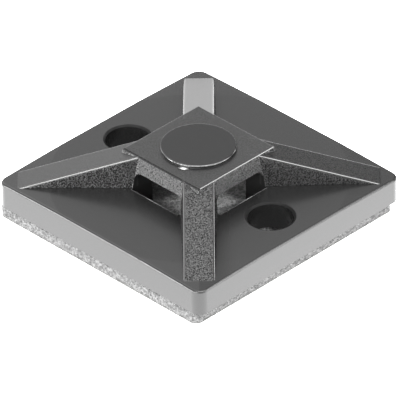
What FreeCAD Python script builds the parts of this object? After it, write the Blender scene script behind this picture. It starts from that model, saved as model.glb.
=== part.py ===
import FreeCAD, Part
import math
import os

import Sketcher

# Four-way cable tie mount: a moulded nylon body on a die-cut pad of double-sided foam tape
# that still has its release paper. The pad lies on Z = 0 and the axis of the mount is Z.

# Driving dimensions, in millimetres and degrees
DIMENSIONS = {
    "base_side": 28.6,
    "base_height": 2.92,
    "level_width": 30.2,
    "corner_fall": 0.22,
    "base_corner_radius": 1.1,
    "base_edge_radius": 0.25,
    "screw_inset": 0.123,
    "screw_hole_width": 4.7,
    "screw_rim_chamfer": 0.17,
    "platform_side": 10.6,
    "platform_rise": 3.57,
    "platform_edge_radius": 0.12,
    "wall_lean": 11.8,
    "disc_width": 7.7,
    "disc_height": 0.33,
    "disc_rim_radius": 0.12,
    "rib_width": 3.1,
    "rib_drop": 0.05,
    "rib_margin": 0.55,
    "rib_draft": 5.0,
    "rib_edge_radius": 0.18,
    "channel_width": 6.6,
    "channel_corner_radius": 0.85,
    "bridge_thickness": 1.7,
    "sill_gap": 0.1,
    "sill_radius": 0.08,
    "tape_inset": 0.3,
    "tape_shift": 0.25,
    "tape_corner_radius": 0.8,
    "tape_hole_clearance": 0.35,
    "foam_thickness": 1.3,
    "liner_thickness": 0.1,
}

# Sizes and heights that follow from them
DERIVED = {
    "body_bottom": "=foam_thickness + liner_thickness",
    "base_top": "=body_bottom + base_height",
    "crown_depth": "=(base_side ^ 2 / 2 - level_width ^ 2 / 4 + corner_fall ^ 2) / (2 * corner_fall)",
    "crown_radius": "=sqrt(crown_depth ^ 2 + level_width ^ 2 / 4)",
    "crown_top": "=base_top - crown_depth + crown_radius",
    "crown_sweep": "=4 * asin(base_side / (2 * crown_radius)) / 1deg",
    "platform_top": "=base_top + platform_rise",
    "foot_side": "=platform_side + 2 * platform_rise * tan(wall_lean * 1deg)",
    # Each screw stands midway between the bridge's foot and the plate's edge, less its inset
    "screw_spacing": "=(base_side + foot_side) / 2 - 2 * screw_inset",
    "channel_top": "=platform_top - bridge_thickness",
    "channel_length": "=foot_side + 2 * sill_gap",
    "rib_floor": "=body_bottom + base_height / 2",
    "rib_reach": "=base_side / sqrt(2) - rib_width / 2 - rib_margin",
    "rib_reach_top": "=crown_top - crown_radius + sqrt(crown_radius ^ 2 - rib_reach ^ 2)",
    "rib_shoulder": "=(platform_side / sqrt(2)) - rib_width / 2",
    "rib_slope": "=(platform_top - rib_drop - rib_reach_top) / (rib_reach - rib_shoulder)",
    "rib_start": "=rib_shoulder - rib_drop / (2 * rib_slope)",
    "rib_start_top": "=platform_top - rib_drop / 2",
    "rib_end": "=rib_reach + base_edge_radius / 2",
    "rib_end_top": "=rib_reach_top - rib_slope * base_edge_radius / 2",
    "rib_flat": "=rib_width - 2 * rib_edge_radius * tan((90 - rib_draft) / 2 * 1deg)",
    "channel_flat": "=channel_width - 2 * channel_corner_radius",
    "tape_side": "=base_side - 2 * tape_inset",
    "tape_hole_width": "=screw_hole_width + 2 * tape_hole_clearance",
}

RIB_COUNT = 4
CROSSING_COUNT = 2
QUARTER_TURN = 90
FULL_TURN = 360
DIAGONAL = 45
TOLERANCE = 0.01
UP = FreeCAD.Vector(0, 0, 1)

# How a sketch's constraints name a curve's points, the sketch's axes and its origin
START, END, CENTRE = 1, 2, 3
X_AXIS, Y_AXIS = -1, -2
ORIGIN = (X_AXIS, START)

doc = FreeCAD.newDocument("cable_tie_mount")
sheet = doc.addObject("Spreadsheet::Sheet", "sheet")
for row, (alias, value) in enumerate({**DIMENSIONS, **DERIVED}.items(), start=1):
    sheet.set(f"A{row}", alias)
    sheet.set(f"B{row}", str(value))
    sheet.setAlias(f"B{row}", alias)
doc.recompute()


def size(alias):
    return float(sheet.get(alias))


def vector(x, y, z=0):
    return FreeCAD.Vector(x, y, z)


def new_body(label):
    body = doc.addObject("PartDesign::Body", label)
    body.Label = label
    return body


def origin_item(body, role):
    return next(item for item in body.Origin.OriginFeatures if item.Role == role)


def new_sketch(body, name, role="XY_Plane"):
    sketch = body.newObject("Sketcher::SketchObject", name)
    sketch.AttachmentSupport = [(origin_item(body, role), "")]
    sketch.MapMode = "FlatFace"
    return sketch


def raise_sketch(sketch, height):
    sketch.setExpression("AttachmentOffset.Base.z", f"sheet.{height}")
    doc.recompute()


def add_size(sketch, name, formula, *constraint):
    index = sketch.addConstraint(Sketcher.Constraint(*constraint))
    sketch.renameConstraint(index, name)
    sketch.setExpression(f"Constraints.{name}", formula)


def draw_square(sketch, alias):
    """A square of the sheet's size about the sketch's origin."""
    half = size(alias) / 2
    corners = [vector(-half, -half), vector(half, -half), vector(half, half), vector(-half, half)]
    for index in range(4):
        sketch.addGeometry(Part.LineSegment(corners[index], corners[(index + 1) % 4]))
    for index in range(4):
        sketch.addConstraint(Sketcher.Constraint("Coincident", index, END, (index + 1) % 4, START))
        direction = "Horizontal" if index % 2 == 0 else "Vertical"
        sketch.addConstraint(Sketcher.Constraint(direction, index))
    sketch.addConstraint(Sketcher.Constraint("Equal", 0, 1))
    sketch.addConstraint(Sketcher.Constraint("Symmetric", 0, START, 1, END, *ORIGIN))
    add_size(sketch, "side", f"sheet.{alias}", "Distance", 0, 2 * half)


def draw_screw_circles(sketch, alias):
    """Two equal circles on the X axis, at the screw spacing."""
    offset = size("screw_spacing") / 2
    radius = size(alias) / 2
    for centre in (vector(-offset, 0), vector(offset, 0)):
        sketch.addGeometry(Part.Circle(centre, UP, radius))
    first = sketch.GeometryCount - 2
    second = sketch.GeometryCount - 1
    sketch.addConstraint(Sketcher.Constraint("Equal", first, second))
    sketch.addConstraint(Sketcher.Constraint("PointOnObject", first, CENTRE, X_AXIS))
    sketch.addConstraint(Sketcher.Constraint("Symmetric", first, CENTRE, second, CENTRE, *ORIGIN))
    add_size(sketch, "hole_width", f"sheet.{alias}", "Diameter", first, 2 * radius)
    add_size(sketch, "spacing", "sheet.screw_spacing", "DistanceX", first, CENTRE, second, CENTRE, 2 * offset)


def draw_rounded_top(sketch, flat, radius, top, floor="", draft=""):
    """A closed profile with a flat top, round shoulders and straight or drafted sides."""
    half_flat = size(flat) / 2
    round_size = size(radius)
    top_height = size(top)
    floor_height = size(floor) if floor else 0
    lean = math.radians(size(draft)) if draft else 0
    shoulder = vector(half_flat + round_size * math.cos(lean), top_height - round_size * (1 - math.sin(lean)))
    foot = vector(shoulder.x + (shoulder.y - floor_height) * math.tan(lean), floor_height)
    mirror_shoulder = vector(-shoulder.x, shoulder.y)
    mirror_foot = vector(-foot.x, foot.y)
    right_arc = Part.Circle(vector(half_flat, top_height - round_size), UP, round_size)
    left_arc = Part.Circle(vector(-half_flat, top_height - round_size), UP, round_size)
    sketch.addGeometry([
        Part.LineSegment(mirror_foot, foot),
        Part.LineSegment(foot, shoulder),
        Part.ArcOfCircle(right_arc, lean, math.pi / 2),
        Part.LineSegment(vector(half_flat, top_height), vector(-half_flat, top_height)),
        Part.ArcOfCircle(left_arc, math.pi / 2, math.pi - lean),
        Part.LineSegment(mirror_shoulder, mirror_foot),
    ])
    base, right, right_round, flat_top, left_round, left = range(6)
    sketch.addConstraint(Sketcher.Constraint("Coincident", base, END, right, START))
    sketch.addConstraint(Sketcher.Constraint("Coincident", left, END, base, START))
    sketch.addConstraint(Sketcher.Constraint("Tangent", right, END, right_round, START))
    sketch.addConstraint(Sketcher.Constraint("Tangent", right_round, END, flat_top, START))
    sketch.addConstraint(Sketcher.Constraint("Tangent", flat_top, END, left_round, START))
    sketch.addConstraint(Sketcher.Constraint("Tangent", left_round, END, left, START))
    sketch.addConstraint(Sketcher.Constraint("Symmetric", flat_top, START, flat_top, END, Y_AXIS))
    sketch.addConstraint(Sketcher.Constraint("Symmetric", base, START, base, END, Y_AXIS))
    sketch.addConstraint(Sketcher.Constraint("Equal", right_round, left_round))
    add_size(sketch, "flat", f"sheet.{flat}", "Distance", flat_top, 2 * half_flat)
    add_size(sketch, "shoulder_radius", f"sheet.{radius}", "Radius", right_round, round_size)
    add_size(sketch, "top_height", f"sheet.{top}", "DistanceY", *ORIGIN, flat_top, START, top_height)
    if floor:
        add_size(sketch, "floor_height", f"sheet.{floor}", "DistanceY", *ORIGIN, base, START, floor_height)
    else:
        sketch.addConstraint(Sketcher.Constraint("PointOnObject", base, START, X_AXIS))
    if draft:
        add_size(sketch, "side_angle", f"90deg + sheet.{draft} * 1deg", "Angle", right, math.pi / 2 + lean)
    else:
        sketch.addConstraint(Sketcher.Constraint("Vertical", right))


def draw_crown_profile(sketch):
    """The space over a shallow arc, with a level line through the arc's centre as its axis."""
    radius = size("crown_radius")
    reach = size("base_side")
    apex = size("crown_top")
    ceiling = apex + size("base_height")
    rim_angle = math.acos(reach / radius)
    rim_height = apex - radius + radius * math.sin(rim_angle)
    circle = Part.Circle(vector(0, apex - radius), UP, radius)
    sketch.addGeometry([
        Part.ArcOfCircle(circle, rim_angle, math.pi - rim_angle),
        Part.LineSegment(vector(-reach, rim_height), vector(-reach, ceiling)),
        Part.LineSegment(vector(-reach, ceiling), vector(reach, ceiling)),
        Part.LineSegment(vector(reach, ceiling), vector(reach, rim_height)),
    ])
    axis = sketch.addGeometry(Part.LineSegment(vector(0, apex - radius), vector(reach, apex - radius)), True)
    arc, left, lid, right = range(4)
    sketch.addConstraint(Sketcher.Constraint("Coincident", arc, END, left, START))
    sketch.addConstraint(Sketcher.Constraint("Coincident", left, END, lid, START))
    sketch.addConstraint(Sketcher.Constraint("Coincident", lid, END, right, START))
    sketch.addConstraint(Sketcher.Constraint("Coincident", right, END, arc, START))
    sketch.addConstraint(Sketcher.Constraint("Coincident", axis, START, arc, CENTRE))
    sketch.addConstraint(Sketcher.Constraint("Horizontal", axis))
    sketch.addConstraint(Sketcher.Constraint("PointOnObject", arc, CENTRE, Y_AXIS))
    sketch.addConstraint(Sketcher.Constraint("Symmetric", arc, START, arc, END, Y_AXIS))
    sketch.addConstraint(Sketcher.Constraint("Vertical", left))
    sketch.addConstraint(Sketcher.Constraint("Vertical", right))
    add_size(sketch, "axis_length", "sheet.base_side", "Distance", axis, reach)
    add_size(sketch, "radius", "sheet.crown_radius", "Radius", arc, radius)
    depth = radius - apex
    add_size(sketch, "depth", "sheet.crown_radius - sheet.crown_top", "DistanceY", arc, CENTRE, *ORIGIN, depth)
    add_size(sketch, "width", "2 * sheet.base_side", "Distance", lid, 2 * reach)
    add_size(sketch, "ceiling", "sheet.crown_top + sheet.base_height", "DistanceY", *ORIGIN, lid, START, ceiling)


def check_growth(feature, before, sign):
    """Stop if a feature adds or cuts nothing."""
    doc.recompute()
    change = feature.Shape.Volume - before
    if change * sign <= 0:
        raise RuntimeError(f"{feature.Label} changes the volume by {change:.4f}")


def pad(body, name, sketch, alias, **settings):
    before = body.Shape.Volume if body.Shape.Solids else 0
    feature = body.newObject("PartDesign::Pad", name)
    feature.Profile = sketch
    feature.setExpression("Length", alias)
    for prop, value in settings.items():
        feature.setExpression(prop, value)
    check_growth(feature, before, 1)
    return feature


def pocket_through(body, name, sketch, length=""):
    before = body.Shape.Volume
    feature = body.newObject("PartDesign::Pocket", name)
    feature.Profile = sketch
    feature.SideType = "Symmetric"
    if length:
        feature.setExpression("Length", length)
    else:
        feature.Type = "ThroughAll"
    check_growth(feature, before, -1)
    return feature


def pattern(body, name, original, count, angle, sign):
    before = body.Shape.Volume
    feature = body.newObject("PartDesign::PolarPattern", name)
    feature.Originals = [original]
    feature.Axis = (origin_item(body, "Z_Axis"), [""])
    feature.Angle = angle
    feature.Occurrences = count
    body.Tip = feature
    check_growth(feature, before, sign)
    return feature


def dress(kind, prop, body, name, base, alias, chosen):
    """Round or chamfer the edges of the base feature that the test picks."""
    picked = [f"Edge{index}" for index, edge in enumerate(base.Shape.Edges, start=1) if chosen(edge)]
    feature = body.newObject(f"PartDesign::{kind}", name)
    feature.Base = (base, picked)
    feature.setExpression(prop, f"sheet.{alias}")
    check_growth(feature, base.Shape.Volume, -1)
    return feature


def fillet(body, name, base, alias, chosen):
    return dress("Fillet", "Radius", body, name, base, alias, chosen)


def chamfer(body, name, base, alias, chosen):
    return dress("Chamfer", "Size", body, name, base, alias, chosen)


def is_upright(edge):
    box = edge.BoundBox
    return box.ZLength > TOLERANCE and box.XLength < TOLERANCE and box.YLength < TOLERANCE


def is_level(edge, height):
    box = edge.BoundBox
    return abs(box.ZMin - height) < TOLERANCE and abs(box.ZMax - height) < TOLERANCE


def off_axis(edge):
    centre = edge.BoundBox.Center
    return max(abs(centre.x), abs(centre.y))


# Base: a square plate, level on top but for corners that fall away, with small rounded edges
def add_base(body):
    outline = new_sketch(body, "base_outline")
    draw_square(outline, "base_side")
    raise_sketch(outline, "body_bottom")
    plate = pad(body, "base_plate", outline, "sheet.base_height")
    corners = fillet(body, "base_corners", plate, "base_corner_radius", is_upright)

    profile = new_sketch(body, "crown_profile", "XZ_Plane")
    draw_crown_profile(profile)
    before = corners.Shape.Volume
    crown = body.newObject("PartDesign::Groove", "corner_falls")
    crown.Profile = profile
    crown.ReferenceAxis = (profile, ["Axis0"])
    crown.Midplane = True
    crown.setExpression("Angle", "sheet.crown_sweep * 1deg")
    check_growth(crown, before, -1)

    middle = size("rib_floor")
    border = size("base_side") / 2 - size("base_corner_radius")
    return fillet(body, "base_edge", crown, "base_edge_radius",
                  lambda edge: edge.BoundBox.ZMin > middle and off_axis(edge) > border - TOLERANCE)


# Bridge: the raised square platform on walls that lean outward to their foot
def add_platform(body):
    outline = new_sketch(body, "platform_outline")
    draw_square(outline, "foot_side")
    raise_sketch(outline, "base_top")
    block = pad(body, "platform_block", outline, "sheet.platform_rise", TaperAngle="-sheet.wall_lean * 1deg")
    top = size("platform_top")
    return fillet(body, "platform_edge", block, "platform_edge_radius", lambda edge: is_level(edge, top))


# Rib: runs down the diagonal from the platform's corner to the corner of the base
def add_ribs(body):
    sections = []
    for name, distance, top in (("rib_inner_section", "rib_start", "rib_start_top"),
                                ("rib_outer_section", "rib_end", "rib_end_top")):
        section = new_sketch(body, name, "XZ_Plane")
        section.AttachmentOffset = FreeCAD.Placement(vector(0, 0), FreeCAD.Rotation(vector(0, 1), DIAGONAL))
        for axis in ("x", "z"):
            section.setExpression(f"AttachmentOffset.Base.{axis}", f"sheet.{distance} / sqrt(2)")
        draw_rounded_top(section, "rib_flat", "rib_edge_radius", top, "rib_floor", "rib_draft")
        sections.append(section)
    doc.recompute()
    before = body.Shape.Volume
    rib = body.newObject("PartDesign::AdditiveLoft", "rib")
    rib.Profile = sections[0]
    rib.Sections = [sections[1]]
    rib.Ruled = True
    check_growth(rib, before, 1)
    return pattern(body, "ribs", rib, RIB_COUNT, FULL_TURN, 1)


# Channels: the tie passes under the bridge either way, over the pad that closes the base below
def add_channels(body):
    profile = new_sketch(body, "channel_profile", "XZ_Plane")
    draw_rounded_top(profile, "channel_flat", "channel_corner_radius", "channel_top")
    channel = pocket_through(body, "channel", profile, "sheet.channel_length")
    crossing = pattern(body, "channels", channel, CROSSING_COUNT, QUARTER_TURN, -1)
    sill = size("channel_length") / 2
    level = size("base_top")
    return fillet(body, "sills", crossing, "sill_radius",
                  lambda edge: is_level(edge, level) and abs(off_axis(edge) - sill) < TOLERANCE)


# Disc: the low round pad in the middle of the platform
def add_disc(body):
    outline = new_sketch(body, "disc_outline")
    radius = size("disc_width") / 2
    outline.addGeometry(Part.Circle(vector(0, 0), UP, radius))
    outline.addConstraint(Sketcher.Constraint("Coincident", 0, CENTRE, *ORIGIN))
    add_size(outline, "width", "sheet.disc_width", "Diameter", 0, 2 * radius)
    raise_sketch(outline, "platform_top")
    disc = pad(body, "disc", outline, "sheet.disc_height")
    top = size("platform_top") + size("disc_height")
    return fillet(body, "disc_rim", disc, "disc_rim_radius", lambda edge: is_level(edge, top))


# Screw holes: one on each side of the bridge, straight through the base
def add_screw_holes(body):
    circles = new_sketch(body, "screw_circles")
    draw_screw_circles(circles, "screw_hole_width")
    holes = pocket_through(body, "screw_holes", circles)
    middle = size("rib_floor")
    centre = size("screw_spacing") / 2
    return chamfer(body, "screw_rims", holes, "screw_rim_chamfer",
                  lambda edge: edge.BoundBox.ZMin > middle and abs(off_axis(edge) - centre) < TOLERANCE
                  and edge.BoundBox.YLength > size("screw_hole_width") / 2)


def make_mount_body():
    body = new_body("mount_body")
    add_base(body)
    add_platform(body)
    add_ribs(body)
    add_channels(body)
    add_disc(body)
    body.Tip = add_screw_holes(body)
    return body


# Tape: a rounded square with two punched holes, stuck on a little off the middle
def make_tape_layer(label, thickness, height):
    body = new_body(label)
    outline = new_sketch(body, f"{label}_outline")
    draw_square(outline, "tape_side")
    layer = pad(body, f"{label}_sheet", outline, f"sheet.{thickness}")
    corners = fillet(body, f"{label}_corners", layer, "tape_corner_radius", is_upright)
    circles = new_sketch(body, f"{label}_circles")
    draw_screw_circles(circles, "tape_hole_width")
    body.Tip = pocket_through(body, f"{label}_holes", circles)
    for axis in ("x", "y"):
        body.setExpression(f"Placement.Base.{axis}", "-sheet.tape_shift")
    if height:
        body.setExpression("Placement.Base.z", f"sheet.{height}")
    doc.recompute()
    return body


parts = [
    make_mount_body(),
    make_tape_layer("foam_pad", "foam_thickness", "liner_thickness"),
    make_tape_layer("release_liner", "liner_thickness", ""),
]
doc.recompute()

for item in doc.Objects:
    faults = [state for state in item.State if state in ("Invalid", "Error")]
    if faults:
        raise RuntimeError(f"{item.Label} is {faults}")
for part in parts:
    if part.Shape.isNull() or not part.Shape.isValid() or len(part.Shape.Solids) != 1:
        raise RuntimeError(f"{part.Label} has no sound solid")

os.makedirs("parts", exist_ok=True)
for part in parts:
    part.Shape.exportStep(f"parts/{part.Label}.step")
    box = part.Shape.optimalBoundingBox()
    print(f"{part.Label}: volume {part.Shape.Volume:.2f}, faces {len(part.Shape.Faces)}, "
          f"x {box.XMin:.3f} to {box.XMax:.3f}, y {box.YMin:.3f} to {box.YMax:.3f}, z {box.ZMin:.3f} to {box.ZMax:.3f}")
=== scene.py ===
import math
from types import SimpleNamespace

import bmesh
import bpy
from mathutils import Matrix, Vector, noise


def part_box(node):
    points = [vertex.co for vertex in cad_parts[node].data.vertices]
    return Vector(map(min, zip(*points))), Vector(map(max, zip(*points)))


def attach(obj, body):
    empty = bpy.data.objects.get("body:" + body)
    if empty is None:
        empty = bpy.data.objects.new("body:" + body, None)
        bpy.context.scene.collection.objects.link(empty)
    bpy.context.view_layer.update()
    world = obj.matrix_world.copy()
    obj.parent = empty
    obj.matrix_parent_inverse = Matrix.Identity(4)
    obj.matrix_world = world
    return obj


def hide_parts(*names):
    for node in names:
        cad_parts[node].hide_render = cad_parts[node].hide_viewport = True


# Looks of the four-way cable tie mount: glossy and spark-eroded black nylon, foam tape with
# a cut edge, and release paper. Lengths are in metres, in the frame of the solids.
# Left, right and front are the photograph's: right is +X with +Y, front is +X with -Y.

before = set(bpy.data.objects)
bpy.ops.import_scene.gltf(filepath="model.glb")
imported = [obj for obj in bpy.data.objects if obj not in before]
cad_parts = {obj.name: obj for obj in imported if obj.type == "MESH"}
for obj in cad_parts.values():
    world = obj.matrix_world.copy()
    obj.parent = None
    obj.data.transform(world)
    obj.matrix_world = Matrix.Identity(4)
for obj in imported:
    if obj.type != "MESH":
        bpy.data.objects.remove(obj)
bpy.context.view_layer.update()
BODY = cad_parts["mount_body"]
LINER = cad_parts["release_liner"]
FOAM_LOW, FOAM_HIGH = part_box("foam_pad")
MM = 0.001

# Moulding: heights, half widths and radii that the nylon's masks are worked out from
MARGIN = 0.02 * MM
FINE_MARGIN = 0.01 * MM
PLATE_TOP = 4.32 * MM
PLATE_RIM_FROM = 13.8 * MM
LEVEL_RADIUS = 15.1 * MM
FALL_RADIUS = 409.0 * MM
PLATFORM_TOP = 7.89 * MM
PLATFORM_HALF = 5.3 * MM
WALL_FOOT_HALF = 6.05 * MM
RIB_HALF = 1.55 * MM
RIB_FOOT_HALF = 1.88 * MM
CHANNEL_HALF = 3.3 * MM
WINDOW_TOP = 6.1 * MM
HOLE_OFFSET = 10.05 * MM
HOLE_RIM_RADIUS = 2.56 * MM
HOLE_RIM_DEPTH = 0.24 * MM
DISC_FROM = PLATFORM_TOP + 0.03 * MM
DISC_EDGE_FROM = 3.71 * MM
DISC_EDGE_TO = 3.75 * MM

# Moulding: the bands along its edges, and the window sills
RIB_EDGE_WIDTH = 0.16 * MM
RIB_EDGE_SOFT = 0.03 * MM
RIB_EDGE_FROM = 4.7 * MM
RIM_INSIDE = 0.12 * MM
RIM_OUTSIDE = 0.03 * MM
RIM_DEPTH = 0.14 * MM
FRONT_RIM_WIDTH = 0.2 * MM
SILL_FROM = 6.14 * MM
SILL_TO = 6.36 * MM
SILL_DEPTH = 0.12 * MM

# Moulding: the gate mark, a small facet at the disc's foot that sends the front key to the camera
GATE_MIDDLE = (1.61 * MM, -3.72 * MM)
GATE_FACING = math.radians(-60.4)
GATE_SLOPE = 1.05
GATE_LENGTH = 0.65 * MM
GATE_WIDTH = 0.42 * MM
GATE_FLAT_SHARE = 0.4

# Moulding: which way a face looks, by the height of its normal, and places seen from the front
FACING_UP = 0.85
BEVEL_FROM = 0.4
BEVEL_SOFT = 0.02
FRONT_REACH = 9.0 * MM
RIGHT_FROM = 6.0 * MM
BESIDE_RIB_WIDTH = 2.0 * MM
PLATE_RIM_FADE = 10.0 * MM

# Moulding: how deep the grain is, and how much of a dull or burnished look a place has
WORN_LEFT = 0.88
WORN_RIGHT = 0.48
LEFT_SIDE_DEPTH_ADDED = 0.6
WALL_DEPTH_LOST = 0.35
PLATFORM_GRAIN = 0.25
BESIDE_RIB_DULL = 0.4
PLATE_RIM_BEVEL = 0.2
WALL_EDGE = 0.45

# Nylon: grain and ripple, with heights in metres, its tone, and what each mask adds to its
# roughness and its shine
GRAIN_SCALE = 7200.0
GRAIN_DETAIL = 1.0
GRAIN_MEAN = 0.5
GRAIN_HEIGHT = 40e-6
RIPPLE_SCALE = 260.0
RIPPLE_DETAIL = 2.0
RIPPLE_HEIGHT = 3e-6
NYLON_TONE = 0.012
# The sills' paler tone is a painted highlight along the window sills.
SILL_PAINTED_HIGHLIGHT_TONE = 0.232
NYLON_IOR = 1.6
NYLON_ROUGHNESS = 0.25
ROUGHNESS_ADDED = {"grained": 0.14, "dull": 0.12, "sill": -0.1, "bevel": -0.12}
NYLON_SHINE = 0.5
SHINE_ADDED = {"pits": 3.1, "disc": -0.22, "dull": -0.42, "edge": 0.1, "bevel": 1.0}

# Foam: the mesh of its cut walls
FOAM_CORNER_RADIUS = 0.8 * MM
FOAM_HOLE_RADIUS = 2.7 * MM
FOAM_STEP = 0.1 * MM
FOAM_ROWS = 13
FOAM_HOLE_STEPS = 96
FOAM_CELL = 0.22 * MM
FOAM_PIT = 0.075 * MM
FOAM_PIT_SHARE = 0.6
FOAM_WAVE = 0.02 * MM
FOAM_WAVE_LENGTH = 1.5 * MM
FOAM_GLUE_LINE = 0.12 * MM
FOAM_GLUE_RECESS = 0.13 * MM
FOAM_GLUE_LEAST = 0.75
FOAM_GLUE_SPREAD = 0.5
FOAM_GLUE_WAVE_LENGTH = 0.5 * MM

# Foam: its tones, dark and pale, from the pits to the skin between them
FOAM_WALL_TONES = (0.045, 0.16)
# The glued faces' tones are paler than the walls' as painted light for the dark wells.
FOAM_FACE_TONES = (0.18, 0.54)
FOAM_PALEST = 0.85
FOAM_FACE_NORMAL = 0.7
FOAM_ROUGHNESS = 0.8
FOAM_BUMP_DISTANCE = 40e-6
CELL_SCALE = 5000.0
CELL_RANGE = (0.1, 0.7)
CLUMP_SCALE = 2400.0
CLUMP_DETAIL = 2.0
CLUMP_RANGE = (0.25, 0.65)

# Foam: painted light and shade over the wells, and painted light that changes from side to side of the screw
# holes' walls
WELL_SIDE_REACH = 6.0 * MM
WELL_LEFT_PAINTED_LIGHT = 0.68
WELL_RIGHT_PAINTED_LIGHT = 1.48
WELL_SHADE_FROM = 1.3 * MM
WELL_SHADE_TO = 3.4 * MM
WELL_MIDDLE_PAINTED_LIGHT = 2.1
WELL_EDGE_PAINTED_SHADE = 0.25
HOLE_WALL_WIDTH = 0.4 * MM
HOLE_WALL_DARK_FROM = HOLE_OFFSET + 0.3 * MM
HOLE_WALL_PALE_FROM = HOLE_OFFSET - 1.3 * MM
HOLE_WALL_PAINTED_LIGHT = 10.0

# Release paper
PAPER_COLOUR = (0.5, 0.5, 0.49, 1)
PAPER_ROUGHNESS = 0.45
FIBRE_SCALE = 1800.0
FIBRE_DETAIL = 4.0
FIBRE_STRENGTH = 0.4
FIBRE_DISTANCE = 10e-6

# Camera, fitted to the photograph
CAMERA_AZIMUTH = math.radians(45.494)
CAMERA_ELEVATION = math.radians(34.219)
CAMERA_ROLL = math.radians(-0.99)
CAMERA_DISTANCE = 724.16 * MM
CAMERA_LENS = 652.3
CAMERA_CLIP = (0.01, 10)
SENSOR_WIDTH = 36.0
AIM_HEIGHT = 4.35 * MM
AIM_RIGHT = 0.103 * MM
AIM_UP = -2.330 * MM

# Floor: its glow by distance and from left to right, and the contact shadow under the tape
FLOOR_HALF = 0.22
FLOOR_GLOW = 4.8
FLOOR_FAR_GLOW = 1.8
FLOOR_NEAR = 5.0 * MM
FLOOR_FAR = 30.0 * MM
FLOOR_HOLE_GLOW = 0.2
FLOOR_SIDE_REACH = 16.0 * MM
FLOOR_LEFT_LEVEL = 0.97
FLOOR_RIGHT_LEVEL = 1.07
SHADOW_HALF = 14.0 * MM
SHADOW_CORNER = 0.8 * MM
SHADOW_MIDDLE = -0.25 * MM
SHADOW_EDGE = 0.12 * MM

# Sky: soft boxes in the dark, each with azimuth and elevation in degrees, sharpness and level
SOFT_BOXES = {
    "behind": (135.0, 4.0, 38.0, 4.4),
    "left_back": (171.0, 37.0, 14.0, 2.5),
    "right_edge": (84.0, 10.0, 200.0, 10.0),
    "left_edge": (-174.0, 10.0, 60.0, 1.8),
    "left_low": (-123.0, 2.0, 30.0, 25.0),
    "front_left_low": (-97.0, 2.0, 30.0, 15.0),
    "front_low": (-70.0, 3.0, 30.0, 13.0),
    "right_low": (32.0, 2.0, 30.0, 10.0),
    "right_front_low": (4.0, 3.0, 30.0, 3.0),
    "left_high": (-90.0, 40.0, 14.0, 0.8),
    "behind_high": (144.0, 56.0, 14.0, 1.15),
    "front_high": (-8.0, 64.0, 14.0, 3.1),
    "right_high": (62.0, 62.0, 14.0, 0.6),
    "top": (0.0, 88.0, 14.0, 2.1),
    "left_front_fill": (-82.0, 45.0, 6.0, 1.5),
    "right_front_fill": (20.0, 45.0, 6.0, 1.5),
    "right_key": (46.0, 36.0, 200.0, 9.0),
    "right_front_key": (-10.0, 49.0, 300.0, 6.0),
    "front_key": (-81.0, 50.0, 300.0, 14.0),
}


class Graph:
    """An emptied node tree, and short ways to add to it. Values are sockets or numbers."""

    def __init__(self, tree):
        self.tree = tree
        tree.nodes.clear()

    def node(self, kind, **settings):
        """A node with its named sockets and properties set."""
        node = self.tree.nodes.new(kind)
        for key, value in settings.items():
            if key in node.inputs:
                node.inputs[key].default_value = value
            else:
                setattr(node, key, value)
        return node

    def link(self, source, target):
        self.tree.links.new(source, target)

    def maths(self, operation, *values, clamp=False):
        """The output of a Math node."""
        node = self.node("ShaderNodeMath", operation=operation, use_clamp=clamp)
        for socket, value in zip(node.inputs, values):
            if isinstance(value, (int, float)):
                socket.default_value = value
            else:
                self.link(value, socket)
        return node.outputs[0]

    def chain(self, operation, values):
        """One operation over all the values, in their order."""
        result, *rest = values
        for value in rest:
            result = self.maths(operation, result, value)
        return result

    def total(self, *values):
        return self.chain("ADD", values)

    def product(self, *values):
        return self.chain("MULTIPLY", values)

    def highest(self, *values):
        return self.chain("MAXIMUM", values)

    def difference(self, first, second):
        return self.maths("SUBTRACT", first, second)

    def absent(self, mask):
        """1 where a mask is 0, and 0 where it is 1."""
        return self.maths("SUBTRACT", 1, mask)

    def absolute(self, value):
        return self.maths("ABSOLUTE", value)

    def above(self, value, limit):
        return self.maths("GREATER_THAN", value, limit)

    def below(self, value, limit):
        return self.maths("LESS_THAN", value, limit)

    def blend(self, mask, low, high):
        """The number low where a mask is 0, and high where it is 1."""
        return self.total(low, self.product(mask, high - low))

    def smooth_step(self, value, low, high):
        """0 at low and 1 at high, with a smooth change between."""
        node = self.node("ShaderNodeMapRange", interpolation_type="SMOOTHSTEP")
        node.inputs["From Min"].default_value = low
        node.inputs["From Max"].default_value = high
        self.link(value, node.inputs["Value"])
        return node.outputs["Result"]

    def between(self, value, low, high, soft):
        """1 from low to high, falling to 0 within soft of each end."""
        return self.product(self.smooth_step(value, low - soft, low),
                            self.absent(self.smooth_step(value, high, high + soft)))

    def flat_distance(self, first, second):
        """The length of the hypotenuse of two lengths."""
        return self.maths("SQRT", self.total(self.product(first, first), self.product(second, second)))

    def along(self, vector, direction):
        """How far a vector runs along a fixed direction."""
        node = self.node("ShaderNodeVectorMath", operation="DOT_PRODUCT")
        node.inputs[1].default_value = direction
        self.link(vector, node.inputs[0])
        return node.outputs["Value"]

    def split(self, vector):
        """The three parts of a vector."""
        node = self.node("ShaderNodeSeparateXYZ")
        self.link(vector, node.inputs[0])
        return node.outputs

    def pattern(self, kind, output, place, **settings):
        """An output of a texture that is laid out over the object."""
        node = self.node(kind, **settings)
        self.link(place, node.inputs["Vector"])
        return node.outputs[output]

    def speckle(self, place, scale, detail):
        """Soft noise that is laid out over the object."""
        return self.pattern("ShaderNodeTexNoise", "Fac", place, Scale=scale, Detail=detail)

    def finish(self, shader, kind="ShaderNodeOutputMaterial"):
        self.link(shader.outputs[0], self.node(kind).inputs["Surface"])


def new_material(name):
    material = bpy.data.materials.new(name)
    material.use_nodes = True
    return material, Graph(material.node_tree)


def dress(piece, material):
    piece.data.materials.clear()
    piece.data.materials.append(material)


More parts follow.
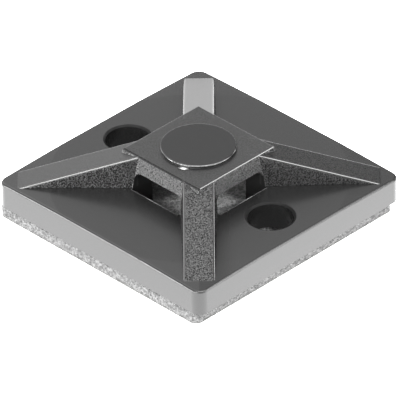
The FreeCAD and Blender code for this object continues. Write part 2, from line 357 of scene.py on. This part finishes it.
def object_places(graph):
    """Sockets with a point of the object, its coordinates and the way that its surface faces."""
    source = graph.node("ShaderNodeTexCoord")
    x, y, z = graph.split(source.outputs["Object"])
    return SimpleNamespace(point=source.outputs["Object"], normal=source.outputs["Normal"], x=x, y=y, z=z)


def rightness(graph, at):
    """How far a place is to the right, times the square root of 2."""
    return graph.total(at.x, at.y)


def from_screw_hole(graph, at):
    """The flat distance from the middle of the nearer screw hole."""
    return graph.flat_distance(graph.difference(graph.absolute(at.x), HOLE_OFFSET), at.y)


def body_places(graph):
    """The object's places, with distances on the moulding and masks of its main forms."""
    at = object_places(graph)
    along_x, along_y = graph.absolute(at.x), graph.absolute(at.y)
    at.furthest = graph.highest(along_x, along_y)
    at.nearest = graph.maths("MINIMUM", along_x, along_y)
    at.across = graph.flat_distance(along_x, along_y)
    at.from_diagonal = graph.maths("DIVIDE", graph.absolute(graph.difference(along_x, along_y)), math.sqrt(2))
    fallen = graph.highest(graph.difference(graph.product(at.across, at.across), LEVEL_RADIUS ** 2), 0)
    fallen = graph.maths("DIVIDE", fallen, 2 * FALL_RADIUS)
    at.raised = graph.above(graph.total(at.z, fallen), PLATE_TOP + MARGIN)
    at.below_top = graph.below(at.z, PLATFORM_TOP - MARGIN)
    at.on_platform = graph.between(at.z, PLATFORM_TOP - FINE_MARGIN, PLATFORM_TOP + FINE_MARGIN, FINE_MARGIN)
    at.in_rib = graph.below(at.from_diagonal, RIB_FOOT_HALF)
    at.in_walls = graph.below(at.furthest, WALL_FOOT_HALF + MARGIN)
    at.upright = graph.split(at.normal)["Z"]
    at.facing_up = graph.above(at.upright, FACING_UP)
    at.frontness = graph.smooth_step(graph.difference(at.x, at.y), 0.0, FRONT_REACH)
    return at


def disc_mask(graph, at):
    """The disc, without the band round its edge."""
    disc = graph.above(at.z, DISC_FROM)
    band = graph.product(disc, graph.smooth_step(at.across, DISC_EDGE_FROM, DISC_EDGE_TO))
    return graph.difference(disc, band)


def channel_mask(graph, at):
    """The side faces of the channels, under the bridge."""
    return graph.product(
        graph.between(at.nearest, CHANNEL_HALF - MARGIN, CHANNEL_HALF + MARGIN, FINE_MARGIN),
        graph.below(at.z, WINDOW_TOP), graph.below(at.furthest, SILL_FROM))


def sill_mask(graph, at):
    """The sill of each window, and how far its rounding takes it down."""
    level_here = graph.product(
        graph.below(at.nearest, CHANNEL_HALF),
        graph.above(at.z, PLATE_TOP - SILL_DEPTH), graph.below(at.z, PLATE_TOP + MARGIN))
    to_sill = graph.maths("DIVIDE", graph.difference(SILL_TO, at.furthest), SILL_TO - SILL_FROM, clamp=True)
    sill = graph.product(to_sill, level_here)
    return sill, graph.product(sill, sill, 0.5 * (SILL_TO - SILL_FROM))


def gate_mask(graph, at):
    """The gate mark, and how far its facet goes down."""
    outward = Vector((math.cos(GATE_FACING), math.sin(GATE_FACING), 0))
    sideways = Vector((-outward.y, outward.x, 0))
    middle = Vector((*GATE_MIDDLE, 0))
    out = graph.difference(graph.along(at.point, outward), middle.dot(outward))
    aside = graph.difference(graph.along(at.point, sideways), middle.dot(sideways))
    distance = graph.flat_distance(graph.maths("DIVIDE", out, GATE_WIDTH),
                                   graph.maths("DIVIDE", aside, GATE_LENGTH))
    gate = graph.product(graph.smooth_step(distance, 1.0, GATE_FLAT_SHARE), at.on_platform)
    return gate, graph.product(gate, out, GATE_SLOPE)


def edge_bands(graph, at):
    """The bands along the ribs' upper edges, and the one round the platform's rim."""
    rib_edge = graph.product(
        graph.between(at.from_diagonal, RIB_HALF - RIB_EDGE_WIDTH, RIB_HALF, RIB_EDGE_SOFT),
        graph.above(at.furthest, RIB_EDGE_FROM), at.raised)
    rim = graph.product(
        graph.between(at.furthest, PLATFORM_HALF - RIM_INSIDE, PLATFORM_HALF + RIM_OUTSIDE, MARGIN),
        graph.above(at.z, PLATFORM_TOP - RIM_DEPTH))
    return rib_edge, rim


def dull_mask(graph, at, rim, channel, rib_side):
    """The screw holes' rims, the front rim, the channels, the front rib's sides and the plate beside it."""
    screw_rim = graph.product(graph.below(from_screw_hole(graph, at), HOLE_RIM_RADIUS),
                              graph.above(at.z, PLATE_TOP - HOLE_RIM_DEPTH))
    front_rim = graph.product(rim, graph.below(at.y, FRONT_RIM_WIDTH - PLATFORM_HALF))
    front_side = graph.product(rib_side, at.frontness, at.raised)
    beside_rib = graph.product(
        graph.smooth_step(at.from_diagonal, RIB_FOOT_HALF + BESIDE_RIB_WIDTH, RIB_FOOT_HALF),
        at.frontness, graph.absent(at.raised), at.facing_up, graph.above(rightness(graph, at), 0))
    return graph.highest(screw_rim, front_rim, channel, front_side,
                         graph.product(beside_rib, BESIDE_RIB_DULL))


def grain_depth(graph, at, rib_side, wall):
    """How deep the grain is: worn on faces that look up, except at the front, and deep on the left."""
    right = graph.above(rightness(graph, at), RIGHT_FROM)
    worn = graph.product(graph.absent(at.frontness), at.facing_up, at.below_top,
                         graph.blend(right, WORN_LEFT, WORN_RIGHT))
    left_side = graph.product(rib_side, graph.below(at.x, 0))
    return graph.total(graph.absent(worn), graph.product(left_side, LEFT_SIDE_DEPTH_ADDED),
                       graph.product(wall, -WALL_DEPTH_LOST))


def bevel_mask(graph, at, dull, gate):
    """Burnished bevels and the gate mark; of the plate's own rim, only the right front."""
    plate_rim = graph.product(graph.above(at.x, PLATE_RIM_FROM),
                              graph.smooth_step(at.y, PLATE_RIM_FADE, -PLATE_RIM_FADE), PLATE_RIM_BEVEL)
    bevel = graph.product(graph.between(at.upright, BEVEL_FROM, FACING_UP, BEVEL_SOFT),
                          graph.highest(graph.below(at.furthest, PLATE_RIM_FROM), plate_rim),
                          graph.absent(dull))
    return graph.highest(bevel, gate)


def body_masks(graph, at):
    """The nylon's masks by name, and how far its sills and its gate mark go down."""
    channel = channel_mask(graph, at)
    sill, sill_drop = sill_mask(graph, at)
    gate, gate_drop = gate_mask(graph, at)
    rib_edge, rim = edge_bands(graph, at)
    rib_side = graph.product(
        graph.above(at.from_diagonal, RIB_HALF), graph.above(at.furthest, WALL_FOOT_HALF),
        graph.absent(at.facing_up))
    wall = graph.product(at.in_walls, graph.absent(at.in_rib))
    eroded = graph.product(graph.highest(at.in_rib, at.in_walls), at.raised, at.below_top,
                           graph.absent(channel), graph.absent(graph.highest(rib_edge, rim)))
    grained = graph.total(eroded, graph.product(at.on_platform, PLATFORM_GRAIN))
    dull = dull_mask(graph, at, rim, channel, rib_side)
    masks = {
        "grained": grained,
        "pitted": graph.product(grained, grain_depth(graph, at, rib_side, wall)),
        "sill": sill,
        "disc": disc_mask(graph, at),
        "dull": dull,
        "bevel": bevel_mask(graph, at, dull, gate),
        "edge": graph.highest(rib_edge, graph.product(wall, eroded, WALL_EDGE)),
    }
    return masks, graph.total(gate_drop, sill_drop)


def with_masks(graph, value, masks, added):
    """A number plus what each mask named in added brings."""
    for name, amount in added.items():
        value = graph.total(value, graph.product(masks[name], amount))
    return value


def make_nylon():
    """Glossy black nylon, spark-eroded on the ribs and on the bridge's walls."""
    material, graph = new_material("black_nylon")
    at = body_places(graph)
    masks, drop = body_masks(graph, at)
    grain = graph.speckle(at.point, GRAIN_SCALE, GRAIN_DETAIL)
    ripple = graph.speckle(at.point, RIPPLE_SCALE, RIPPLE_DETAIL)
    masks["pits"] = graph.product(graph.difference(grain, GRAIN_MEAN), masks["pitted"])
    height = graph.total(graph.product(grain, masks["pitted"], GRAIN_HEIGHT),
                         graph.product(ripple, RIPPLE_HEIGHT), graph.product(drop, -1.0))
    bump = graph.node("ShaderNodeBump", Strength=1.0, Distance=1.0)
    graph.link(height, bump.inputs["Height"])
    shader = graph.node("ShaderNodeBsdfPrincipled", IOR=NYLON_IOR)
    # The base colour is lifted along the sills into a painted highlight.
    graph.link(graph.blend(masks["sill"], NYLON_TONE, SILL_PAINTED_HIGHLIGHT_TONE), shader.inputs["Base Color"])
    graph.link(with_masks(graph, NYLON_ROUGHNESS, masks, ROUGHNESS_ADDED), shader.inputs["Roughness"])
    graph.link(with_masks(graph, NYLON_SHINE, masks, SHINE_ADDED), shader.inputs["Specular IOR Level"])
    graph.link(bump.outputs["Normal"], shader.inputs["Normal"])
    graph.finish(shader)
    return material


def foam_wall_tone(graph, at, uneven):
    """The tone of the cut walls, with painted light lifting it on the left of the near screw hole (the front
    of the other).
    """
    in_hole = graph.below(from_screw_hole(graph, at), FOAM_HOLE_RADIUS + HOLE_WALL_WIDTH)
    across_hole = graph.total(graph.absolute(at.x), at.y)
    # Painted light on one side of each screw hole's wall.
    painted_hole_light = graph.product(in_hole, graph.smooth_step(across_hole, HOLE_WALL_DARK_FROM, HOLE_WALL_PALE_FROM))
    tone = graph.product(graph.blend(uneven, *FOAM_WALL_TONES), graph.blend(painted_hole_light, 1, HOLE_WALL_PAINTED_LIGHT))
    return graph.maths("MINIMUM", tone, FOAM_PALEST)


def foam_face_tone(graph, at, uneven):
    """The tone of the glued faces: painted light makes it palest in the middle of the wells and to the right,
    and painted shade darkens it towards the wells' edges.
    """
    # Painted light, stronger to the right; painted shade towards the wells' edges.
    right = graph.smooth_step(rightness(graph, at), -WELL_SIDE_REACH, WELL_SIDE_REACH)
    furthest = graph.highest(graph.absolute(at.x), graph.absolute(at.y))
    painted_well_shade = graph.smooth_step(furthest, WELL_SHADE_FROM, WELL_SHADE_TO)
    tone = graph.product(graph.blend(uneven, *FOAM_FACE_TONES),
                         graph.blend(right, WELL_LEFT_PAINTED_LIGHT, WELL_RIGHT_PAINTED_LIGHT),
                         graph.blend(painted_well_shade, WELL_MIDDLE_PAINTED_LIGHT, WELL_EDGE_PAINTED_SHADE))
    return graph.maths("MINIMUM", tone, FOAM_PALEST)


def make_foam_material():
    """Pale foam: its cut walls, which face the bright floor, are darker than its glued faces, which lie in
    the dark wells and are given paler tones as painted light.
    """
    material, graph = new_material("foam")
    at = object_places(graph)
    facing = graph.node("ShaderNodeNewGeometry").outputs["Normal"]
    on_face = graph.above(graph.absolute(graph.split(facing)["Z"]), FOAM_FACE_NORMAL)
    cells = graph.pattern("ShaderNodeTexVoronoi", "Distance", at.point, Scale=CELL_SCALE)
    clumps = graph.speckle(at.point, CLUMP_SCALE, CLUMP_DETAIL)
    uneven = graph.product(graph.smooth_step(cells, *CELL_RANGE), graph.smooth_step(clumps, *CLUMP_RANGE))
    tone = graph.total(graph.product(foam_wall_tone(graph, at, uneven), graph.absent(on_face)),
                       graph.product(foam_face_tone(graph, at, uneven), on_face))
    bump = graph.node("ShaderNodeBump", Strength=1.0, Distance=FOAM_BUMP_DISTANCE)
    graph.link(cells, bump.inputs["Height"])
    shader = graph.node("ShaderNodeBsdfPrincipled", Roughness=FOAM_ROUGHNESS)
    graph.link(tone, shader.inputs["Base Color"])
    graph.link(bump.outputs["Normal"], shader.inputs["Normal"])
    graph.finish(shader)
    return material


def make_paper():
    """Off-white paper with a faint relief of fibres."""
    material, graph = new_material("release_paper")
    at = object_places(graph)
    fibres = graph.speckle(at.point, FIBRE_SCALE, FIBRE_DETAIL)
    bump = graph.node("ShaderNodeBump", Strength=FIBRE_STRENGTH, Distance=FIBRE_DISTANCE)
    graph.link(fibres, bump.inputs["Height"])
    shader = graph.node("ShaderNodeBsdfPrincipled", Roughness=PAPER_ROUGHNESS)
    shader.inputs["Base Color"].default_value = PAPER_COLOUR
    graph.link(bump.outputs["Normal"], shader.inputs["Normal"])
    graph.finish(shader)
    return material


def rounded_square_points(low, high, radius, step):
    """Points and outward directions round a square with round corners, about a step apart."""
    points = []
    middle = Vector(((low.x + high.x) / 2, (low.y + high.y) / 2))
    half = (high.x - low.x) / 2
    flat = half - radius
    count = round(2 * flat / step)
    arc_count = round(radius * math.pi / 2 / step)
    for quarter in range(4):
        turn = Matrix.Rotation(quarter * math.pi / 2, 2)
        for index in range(count):
            place = Vector((half, -flat + 2 * flat * index / count))
            points.append((middle + turn @ place, turn @ Vector((1, 0))))
        for index in range(arc_count):
            angle = math.pi / 2 * index / arc_count
            outward = Vector((math.cos(angle), math.sin(angle)))
            points.append((middle + turn @ (Vector((flat, flat)) + radius * outward), turn @ outward))
    return points


def circle_points(centre, radius, count):
    """Points round a circle, each with the direction to its centre, which is out of the foam."""
    points = []
    for index in range(count):
        angle = 2 * math.pi * index / count
        outward = Vector((math.cos(angle), math.sin(angle)))
        points.append((Vector(centre) + radius * outward, -outward))
    return points


def foam_recess(place, height):
    """How far the cut wall stands back: open cells, and a pinched line under each glue face."""
    cells = noise.voronoi(place / FOAM_CELL)[0][0]
    pit = FOAM_PIT * max(0.0, 1 - (cells / FOAM_PIT_SHARE) ** 2)
    waves = FOAM_WAVE * noise.noise(place / FOAM_WAVE_LENGTH)
    edge = min(height - FOAM_LOW[2], FOAM_HIGH[2] - height)
    pinch = FOAM_GLUE_RECESS * math.exp(-((edge / FOAM_GLUE_LINE) ** 2))
    pinch *= FOAM_GLUE_LEAST + FOAM_GLUE_SPREAD * noise.noise(place / FOAM_GLUE_WAVE_LENGTH)
    return pit + waves + pinch


def add_foam_wall(mesh, points):
    """Rings of a cut wall from the bottom to the top; returns the two end rings."""
    rings = []
    for row in range(FOAM_ROWS + 1):
        height = FOAM_LOW[2] + (FOAM_HIGH[2] - FOAM_LOW[2]) * row / FOAM_ROWS
        ring = []
        for flat, outward in points:
            back = foam_recess(Vector((flat.x, flat.y, height)), height)
            ring.append(mesh.verts.new((flat.x - back * outward.x, flat.y - back * outward.y, height)))
        rings.append(ring)
    for lower, upper in zip(rings, rings[1:]):
        for index in range(len(points)):
            after = (index + 1) % len(points)
            mesh.faces.new((lower[index], lower[after], upper[after], upper[index]))
    return rings[0], rings[-1]


def make_foam():
    """The foam tape, with cut walls round its outline and its two screw holes."""
    mesh = bmesh.new()
    low, high = Vector(FOAM_LOW), Vector(FOAM_HIGH)
    walls = [add_foam_wall(mesh, rounded_square_points(low, high, FOAM_CORNER_RADIUS, FOAM_STEP))]
    for side in (-1, 1):
        hole = circle_points((side * HOLE_OFFSET, 0), FOAM_HOLE_RADIUS, FOAM_HOLE_STEPS)
        walls.append(add_foam_wall(mesh, hole))
    for end in (0, 1):
        edges = []
        for wall in walls:
            ring = wall[end]
            for index, vertex in enumerate(ring):
                edges.append(mesh.edges.get((vertex, ring[(index + 1) % len(ring)])))
        bmesh.ops.triangle_fill(mesh, use_beauty=True, edges=edges)
    bmesh.ops.recalc_face_normals(mesh, faces=mesh.faces)
    data = bpy.data.meshes.new("foam_tape")
    mesh.to_mesh(data)
    mesh.free()
    foam = bpy.data.objects.new("foam_tape", data)
    bpy.context.scene.collection.objects.link(foam)
    data.materials.append(make_foam_material())
    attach(foam, "root")
    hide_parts("foam_pad")


def place_camera():
    """The photograph's camera: far away, with a very long lens."""
    azimuth, elevation, roll = CAMERA_AZIMUTH, CAMERA_ELEVATION, CAMERA_ROLL
    back = Vector((math.sin(azimuth) * math.cos(elevation), -math.cos(azimuth) * math.cos(elevation),
                   math.sin(elevation)))
    right = Vector((math.cos(azimuth), math.sin(azimuth), 0))
    up = back.cross(right)
    rolled_right = math.cos(roll) * right + math.sin(roll) * up
    rolled_up = math.cos(roll) * up - math.sin(roll) * right
    aim = Vector((0, 0, AIM_HEIGHT)) + AIM_RIGHT * rolled_right + AIM_UP * rolled_up
    data = bpy.data.cameras.new("camera")
    data.lens = CAMERA_LENS
    data.sensor_width = SENSOR_WIDTH
    data.clip_start, data.clip_end = CAMERA_CLIP
    camera = bpy.data.objects.new("camera", data)
    bpy.context.scene.collection.objects.link(camera)
    turn = Matrix((rolled_right, rolled_up, back)).transposed().to_4x4()
    camera.matrix_world = Matrix.Translation(aim + CAMERA_DISTANCE * back) @ turn
    bpy.context.scene.camera = camera


def sky_direction(azimuth, elevation):
    """The direction of an azimuth and an elevation in degrees."""
    flat = math.cos(math.radians(elevation))
    return Vector((math.cos(math.radians(azimuth)) * flat, math.sin(math.radians(azimuth)) * flat,
                   math.sin(math.radians(elevation))))


def make_sky():
    """A dark studio with large soft boxes."""
    world = bpy.data.worlds.new("studio")
    bpy.context.scene.world = world
    world.use_nodes = True
    graph = Graph(world.node_tree)
    looking = graph.node("ShaderNodeTexCoord").outputs["Generated"]
    light = 0
    for azimuth, elevation, sharpness, level in SOFT_BOXES.values():
        nearness = graph.difference(graph.along(looking, sky_direction(azimuth, elevation)), 1)
        lobe = graph.maths("EXPONENT", graph.product(nearness, sharpness))
        light = graph.total(light, graph.product(lobe, level))
    background = graph.node("ShaderNodeBackground")
    background.inputs["Color"].default_value = (1, 1, 1, 1)
    graph.link(light, background.inputs["Strength"])
    graph.finish(background, "ShaderNodeOutputWorld")


def floor_glow(graph, at):
    """The floor's light: dark under the tape, bright beside it and weaker far away."""
    beyond = []
    for coordinate in (at.x, at.y):
        out = graph.absolute(graph.difference(coordinate, SHADOW_MIDDLE))
        beyond.append(graph.highest(graph.difference(out, SHADOW_HALF - SHADOW_CORNER), 0))
    outside = graph.flat_distance(*beyond)
    lit = graph.smooth_step(outside, SHADOW_CORNER - SHADOW_EDGE, SHADOW_CORNER + SHADOW_EDGE)
    farness = graph.smooth_step(outside, FLOOR_NEAR, FLOOR_FAR)
    right = graph.smooth_step(rightness(graph, at), -FLOOR_SIDE_REACH, FLOOR_SIDE_REACH)
    in_hole = graph.below(from_screw_hole(graph, at), FOAM_HOLE_RADIUS)
    return graph.total(
        graph.product(lit, graph.blend(farness, FLOOR_GLOW, FLOOR_FAR_GLOW),
                      graph.blend(right, FLOOR_LEFT_LEVEL, FLOOR_RIGHT_LEVEL)),
        graph.product(in_hole, FLOOR_HOLE_GLOW))


def make_floor():
    """A light table under the part."""
    mesh = bpy.data.meshes.new("floor")
    edge = FLOOR_HALF
    corners = [(-edge, -edge, 0), (edge, -edge, 0), (edge, edge, 0), (-edge, edge, 0)]
    mesh.from_pydata(corners, [], [(0, 1, 2, 3)])
    floor = bpy.data.objects.new("floor", mesh)
    bpy.context.scene.collection.objects.link(floor)
    material, graph = new_material("light_table")
    glow = graph.node("ShaderNodeEmission")
    graph.link(floor_glow(graph, object_places(graph)), glow.inputs["Strength"])
    graph.finish(glow)
    mesh.materials.append(material)


place_camera()
make_sky()
make_floor()
dress(BODY, make_nylon())
dress(LINER, make_paper())
make_foam()
bpy.context.scene.view_settings.view_transform = "Standard"
